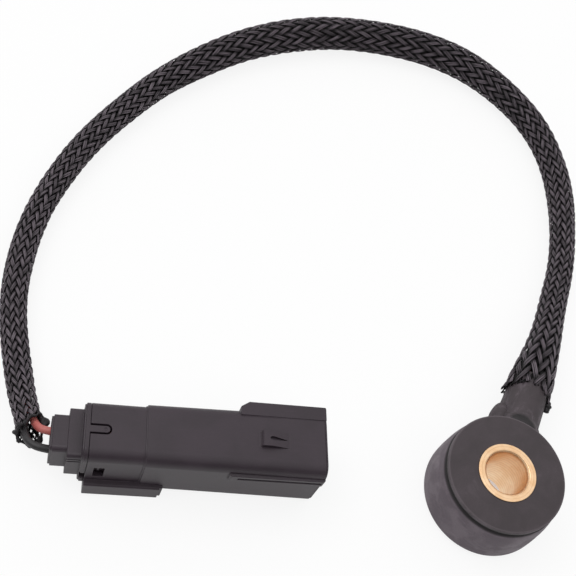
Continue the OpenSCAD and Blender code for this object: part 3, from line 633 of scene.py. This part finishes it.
sleeve_route = Route(SLEEVE_ROUTE, ends=ROUTE_ENDS)
braid = Braid(sleeve_route)
sleeve_pieces = [
    braid.piece("sleeve_right_lay_1", 1, range(0, YARNS, 2)),
    braid.piece("sleeve_right_lay_2", 1, range(1, YARNS, 2)),
    braid.piece("sleeve_left_lay_1", -1, range(0, YARNS, 2)),
    braid.piece("sleeve_left_lay_2", -1, range(1, YARNS, 2)),
    # a near-black tube of painted shade inside the yarns
    braid.painted_shade_tube("sleeve_painted_shade_tube"),
    braid.melted_rim("sleeve_fused_rim"),
    braid.melted_tips("sleeve_fused_tips"),
]


# Leads

WIRE_RADIUS = 0.00075
WIRE_SIDES = 18


def lead_route(side, bend):
    nearest = [np.argmin(np.linalg.norm(sleeve_route.table[:, :3] - p[:3], axis=1)) for p in SLEEVE_ROUTE[3:]]
    inside = [
        tuple(sleeve_route.table[i, :3] + side * LEAD_SPREAD / 2 * sleeve_route.table[i, 3:6]) for i in nearest
    ]
    return [
        on_stub(WIRE_START, side * LEAD_PITCH / 2, STUB_Z), on_stub(STUB_REACH, side * LEAD_PITCH / 2, STUB_Z),
        *inside, *bend,
        in_connector(-0.0005, side * LEAD_PITCH / 2, 0), in_connector(CRIMP_REACH, side * LEAD_PITCH / 2, 0),
    ]


def wire(name, side, bend, material, slot, node):
    route = Route(lead_route(side, bend))
    distance = np.linspace(0, route.length, int(route.length / 0.0006))
    place, left, up, ahead, _ = route.at(distance)
    turn = np.arange(WIRE_SIDES) * 2 * math.pi / WIRE_SIDES
    thick = WIRE_RADIUS * (1 + 0.012 * np.sin(distance * 900 + side))[:, None, None]
    rings = place[:, None, :] + thick * (
        np.cos(turn)[None, :, None] * left[:, None, :] + np.sin(turn)[None, :, None] * up[:, None, :]
    )
    faces = tube_faces(len(rings), WIRE_SIDES).tolist()
    last = (len(rings) - 1) * WIRE_SIDES
    faces.append(list(range(WIRE_SIDES - 1, -1, -1)))
    faces.append(list(range(last, last + WIRE_SIDES)))
    piece = add_piece(name, rings.reshape(-1, 3), faces, material, 60)
    stands_for(piece, slot, node)
    return piece, route


signal_wire, signal_route = wire("signal_lead", 1, SIGNAL_BEND, RED, "red_insulation", "signal_wire")
ground_wire, ground_route = wire("ground_lead", -1, GROUND_BEND, BLACK, "black_insulation", "ground_wire")


# Sensor

def lathe(name, profile, material, steps=160, smooth_below=40):
    """A closed outline of radius and height, turned round the bolt's axis."""
    profile = np.asarray(profile, float) * MM
    turn = np.arange(steps) * 2 * math.pi / steps
    rings = np.stack([
        np.cos(turn)[:, None] * profile[None, :, 0],
        np.sin(turn)[:, None] * profile[None, :, 0],
        np.broadcast_to(profile[None, :, 1], (steps, len(profile))),
    ], axis=-1)
    count = len(profile)
    here = np.arange(steps)[:, None] * count
    after = (np.arange(steps)[:, None] + 1) % steps * count
    k = np.arange(count)[None, :]
    up = (k + 1) % count
    faces = np.stack([here + k, after + k, after + up, here + up], axis=-1).reshape(-1, 4)
    return add_piece(name, rings.reshape(-1, 3), faces, material, smooth_below)


def rounded(corners, rounds):
    """An outline whose corners are rounded, each with its own radius."""
    outline = []
    count = len(corners)
    for i, (corner, radius) in enumerate(zip(corners, rounds)):
        corner = np.array(corner, float)
        if radius <= 0:
            outline.append(corner)
            continue
        before = unit(np.array(corners[i - 1], float) - corner)
        after = unit(np.array(corners[(i + 1) % count], float) - corner)
        for t in np.linspace(0, 1, 6):
            outline.append(corner + radius * ((1 - t) ** 2 * before + t**2 * after))
    return outline


BUSH_OUTLINE = rounded(
    [(4.2, 0), (9.8, 0), (9.8, 2), (5.9, 2), (5.9, 13.6), (4.62, 13.6), (4.2, 13.1)],
    [0, 0.2, 0.2, 0.15, 0.14, 0.12, 0.25],
)
bush = lathe("brass_bush", BUSH_OUTLINE, BRASS, 192)
stands_for(bush, "bush_brass", "bush")

MOULDING_OUTLINE = rounded(
    [(9.8, 0.2), (12.3, 0.2), (12.85, 1.2), (12.86, 4.2), (12.6, 9.0), (12.15, 11.4), (11.68, 11.75), (11.68, 12.05),
     (12.0, 12.3), (12.0, 13.4), (5.92, 13.4), (5.92, 11.27), (8.3, 11.27), (8.3, 9.6), (9.35, 9.6), (9.35, 2.0), (9.8, 2.0)],
    [0, 0.3, 0.5, 1.4, 1.6, 0.5, 0.12, 0.12, 0.2, 0.32, 0, 0, 0, 0, 0, 0, 0],
)
moulding = lathe("sensor_moulding", MOULDING_OUTLINE, SENSOR_PLASTIC, 192)
STUB_OUTLINE = rounded(
    [(0, 10.6), (5.45, 10.6), (5.45, 13.7), (4.62, 14.9), (4.2, 26.0), (0, 26.0)],
    [0, 0, 0.9, 0.9, 0.5, 0],
)


def turned_solid(name, profile, axis, origin, steps=72):
    """A solid of revolution about an axis through origin, whose outline starts and ends on the axis."""
    profile = np.asarray(profile, float) * MM
    axis = unit(np.array(axis, float))
    side = unit(np.cross([0, 0, 1], axis))
    top = np.cross(axis, side)
    turn = np.arange(steps) * 2 * math.pi / steps
    inner = profile[1:-1]
    rings = [
        origin + r * (np.cos(turn)[:, None] * side + np.sin(turn)[:, None] * top) + h * axis for r, h in inner
    ]
    points = np.vstack(rings + [[origin + profile[0, 1] * axis, origin + profile[-1, 1] * axis]])
    faces = tube_faces(len(inner), steps).tolist()
    last = (len(inner) - 1) * steps
    foot, head = len(points) - 2, len(points) - 1
    for k in range(steps):
        faces.append([foot, (k + 1) % steps, k])
        faces.append([head, last + k, last + (k + 1) % steps])
    return add_piece(name, points, faces, SENSOR_PLASTIC)


def join_solid(piece, other, operation):
    """Unite a piece with another solid, or cut the other out of it, and drop the other."""
    for shape in (piece, other):
        outward = bmesh.new()
        outward.from_mesh(shape.data)
        bmesh.ops.recalc_face_normals(outward, faces=outward.faces)
        outward.to_mesh(shape.data)
        outward.free()
    tool = piece.modifiers.new(operation, "BOOLEAN")
    tool.operation = operation
    tool.solver = "EXACT"
    tool.object = other
    with bpy.context.temp_override(object=piece, active_object=piece):
        bpy.ops.object.modifier_apply(modifier=tool.name)
    bpy.data.objects.remove(other, do_unlink=True)


STUB_AXIS = (math.cos(STUB_ANGLE), math.sin(STUB_ANGLE), 0)
stub = turned_solid("stub", STUB_OUTLINE, STUB_AXIS, np.array([0, 0, STUB_Z]))
# The low lump of the moulding on the left of the stub's root
LUMP_OUTLINE = rounded([(0, 9.8), (1.9, 10.4), (1.9, 13.8), (1.3, 15.9), (0, 17.2)], [0, 0.8, 1.0, 0.8, 0])
lump = turned_solid("root_lump", LUMP_OUTLINE, STUB_AXIS, np.array(on_stub(0, 0.0044, 0.0085)), 40)
join_solid(stub, lump, "UNION")
join_solid(moulding, stub, "UNION")
finished(moulding, SENSOR_PLASTIC, 38)
stands_for(moulding, "sensor_plastic", "sensor_housing")


# Connector

def softened(name, node, material, width=0.00012, turn=28, closing=None):
    """A node's own shape with its sharp edges rounded; closing moves one face across the connector forward."""
    shape = bmesh.new()
    shape.from_mesh(NODES[node].data)
    if closing:
        face_u, step = closing
        axis = Vector((math.cos(CONNECTOR_TILT), 0, -math.sin(CONNECTOR_TILT)))
        for vert in shape.verts:
            if abs((vert.co - Vector(CONNECTOR_REAR)).dot(axis) - face_u) < 0.03 * MM:
                vert.co += axis * step
    bmesh.ops.remove_doubles(shape, verts=shape.verts, dist=1e-6)
    bmesh.ops.dissolve_limit(shape, angle_limit=math.radians(1), verts=shape.verts, edges=shape.edges)
    sharp = [e for e in shape.edges if len(e.link_faces) == 2 and e.calc_face_angle() > math.radians(turn)]
    bmesh.ops.bevel(
        shape, geom=sharp, offset=width, offset_type="OFFSET", segments=2, profile=0.5, affect="EDGES",
        clamp_overlap=False,
    )
    mesh = bpy.data.meshes.new(name)
    shape.to_mesh(mesh)
    shape.free()
    piece = bpy.data.objects.new(name, mesh)
    bpy.context.scene.collection.objects.link(piece)
    finished(piece, material, 35)
    even = piece.modifiers.new("even_shading", "WEIGHTED_NORMAL")
    even.keep_sharp = True
    return piece


# The flange's front face in the connector's length, and the step that brings it up to the collar
FLANGE_CLOSING = (0.00655, 0.0002)

connector = stands_for(softened("connector_shell", "connector_housing", CONNECTOR_PLASTIC), "connector_plastic", "connector_housing")
cap = stands_for(softened("connector_cap", "rear_cap", CONNECTOR_PLASTIC, 0.0001, 28, FLANGE_CLOSING), "connector_plastic", "rear_cap")
seal = stands_for(softened("lead_seal", "wire_seal", SEAL, 0.0001), "seal_rubber", "wire_seal")
signal_blade = stands_for(softened("signal_terminal", "signal_blade", TINNED, 0.00005), "tinned_metal", "signal_blade")
ground_blade = stands_for(softened("ground_terminal", "ground_blade", TINNED, 0.00005), "tinned_metal", "ground_blade")
lock = stands_for(softened("lock_plate", "terminal_lock", LOCK, 0.00008), "lock_plastic", "terminal_lock")


def lock_nose(name):
    """The latch nose on the shell's top: a steep rear face, a flat top, a ramp and a slot down its middle."""
    first, last, half, base, top, flat_end = 0.0380, 0.0434, 0.0015, 0.0066, 0.0084, 0.0399
    outline = [(first, base), (first, top - 0.0002), (first + 0.0002, top), (flat_end, top), (last, 0.0074), (last, base)]
    count = len(outline)
    points = [in_connector(u, side, up) for side in (-half, half) for u, up in outline]
    faces = [list(range(count)), list(range(2 * count - 1, count - 1, -1))]
    faces += [[(k + 1) % count, k, count + k, count + (k + 1) % count] for k in range(count)]
    nose = add_piece(name, points, faces, CONNECTOR_PLASTIC, 30)
    slot = [(first + 0.0013, 0.0), (first + 0.0016, 0.00034), (first + 0.0021, 0.0004), (last - 0.0004, 0.0),
            (first + 0.0021, -0.0004), (first + 0.0016, -0.00034)]
    low, high, sides = 0.0070, 0.0095, len(slot)
    cut_points = [in_connector(u, side, up) for up in (low, high) for u, side in slot]
    cut_faces = [list(range(sides)), list(range(2 * sides - 1, sides - 1, -1))]
    cut_faces += [[(k + 1) % sides, k, sides + k, sides + (k + 1) % sides] for k in range(sides)]
    cut = add_piece("slot", cut_points, cut_faces, CONNECTOR_PLASTIC)
    join_solid(nose, cut, "DIFFERENCE")
    return finished(nose, CONNECTOR_PLASTIC, 30)


nose = stands_for(lock_nose("lock_nose"), "connector_plastic")


# Cords

for piece in sleeve_pieces:
    stands_for(piece, "sleeve_braid")
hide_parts("braided_sleeve")
for piece, route, side in ((signal_wire, signal_route, 1), (ground_wire, ground_route, -1)):
    route.line(0.0005).tolist()


# Pieces inside

INSIDE = {
    "lower_insulator": FILM, "upper_insulator": FILM, "lower_contact": CONTACT, "upper_contact": CONTACT,
    "piezo_ring": CERAMIC, "seismic_mass": STEEL, "disc_spring": STEEL, "clamp_nut": STEEL,
    "bleed_resistor": CHIP, "signal_splice": TINNED, "ground_splice": TINNED,
}
for node, material in INSIDE.items():
    finished_node = NODES[node]
    finished_node.data.materials.clear()
    finished_node.data.materials.append(material)


# Studio

def lamp(name, place, target, size, power):
    data = bpy.data.lights.new(name, "AREA")
    data.shape = "DISK"
    data.size = size
    data.energy = power
    light = bpy.data.objects.new(name, data)
    light.location = place
    light.rotation_euler = (Vector(target) - Vector(place)).to_track_quat("-Z", "Y").to_euler()
    bpy.context.scene.collection.objects.link(light)


OBJECT_MIDDLE = (-0.035, 0.05, 0.0)
lamp("key_lamp", (-0.45, 0.25, 0.9), OBJECT_MIDDLE, 0.7, 2.6)
lamp("fill_lamp", (0.6, -0.5, 0.7), OBJECT_MIDDLE, 0.8, 0.6)

# Strength of the world at the horizon behind the camera; overhead and behind the object it is 1
DIM_SIDE = 0.16


class Surroundings(Finish):
    """The world's nodes, on which the same signs work."""

    def __init__(self, name):
        self.material = bpy.data.worlds.new(name)
        self.material.use_nodes = True
        self.nodes = self.material.node_tree.nodes
        self.links = self.material.node_tree.links
        self.surface = self.nodes["Background"]


def studio_world():
    f = Surroundings("studio")
    x, y, z = f.axes(f.node("ShaderNodeTexCoord", output="Generated"))
    camera_ray = f.node("ShaderNodeLightPath", output="Is Camera Ray")
    share = (z + y * 0.5).between(0.0, 0.75).most(camera_ray)
    dim = f.node("ShaderNodeBackground", None, {"Color": (1, 1, 1, 1), "Strength": DIM_SIDE})
    bright = f.node("ShaderNodeBackground", None, {"Color": (1, 1, 1, 1), "Strength": 1.0})
    mixed = f.node("ShaderNodeMixShader", None, [share, dim, bright])
    f.links.new(mixed.socket, f.nodes["World Output"].inputs["Surface"])
    return f.material


bpy.context.scene.world = studio_world()


def floor_finish():
    f = Finish("studio_floor")
    f.surface.inputs["Base Color"].default_value = (0.9, 0.9, 0.9, 1)
    f.surface.inputs["Roughness"].default_value = 0.9
    f.surface.inputs["Specular IOR Level"].default_value = 0.0
    glow = f.node("ShaderNodeEmission", None, {"Color": (1, 1, 1, 1), "Strength": 1.0})
    camera_ray = f.node("ShaderNodeLightPath", output="Is Camera Ray")
    glossy_ray = f.node("ShaderNodeLightPath", output="Is Glossy Ray")
    x, y, z = f.axes(f.place())
    outside = ((x * x + y * y) ** 0.5).between(4.2, 4.5)
    shown = (camera_ray * (0.4 + outside * 0.46)).most(glossy_ray * (0.95 - outside * 0.45))
    mixed = f.node("ShaderNodeMixShader", None, [shown, Value(f, f.surface.outputs[0]), glow])
    f.links.new(mixed.socket, f.nodes["Material Output"].inputs["Surface"])
    return f.material


half = 1.5
floor = add_piece(
    "floor", [(-half, -half, -0.00005), (half, -half, -0.00005), (half, half, -0.00005), (-half, half, -0.00005)],
    [[0, 1, 2, 3]], floor_finish(),
)

bpy.context.scene.view_settings.view_transform = "Standard"
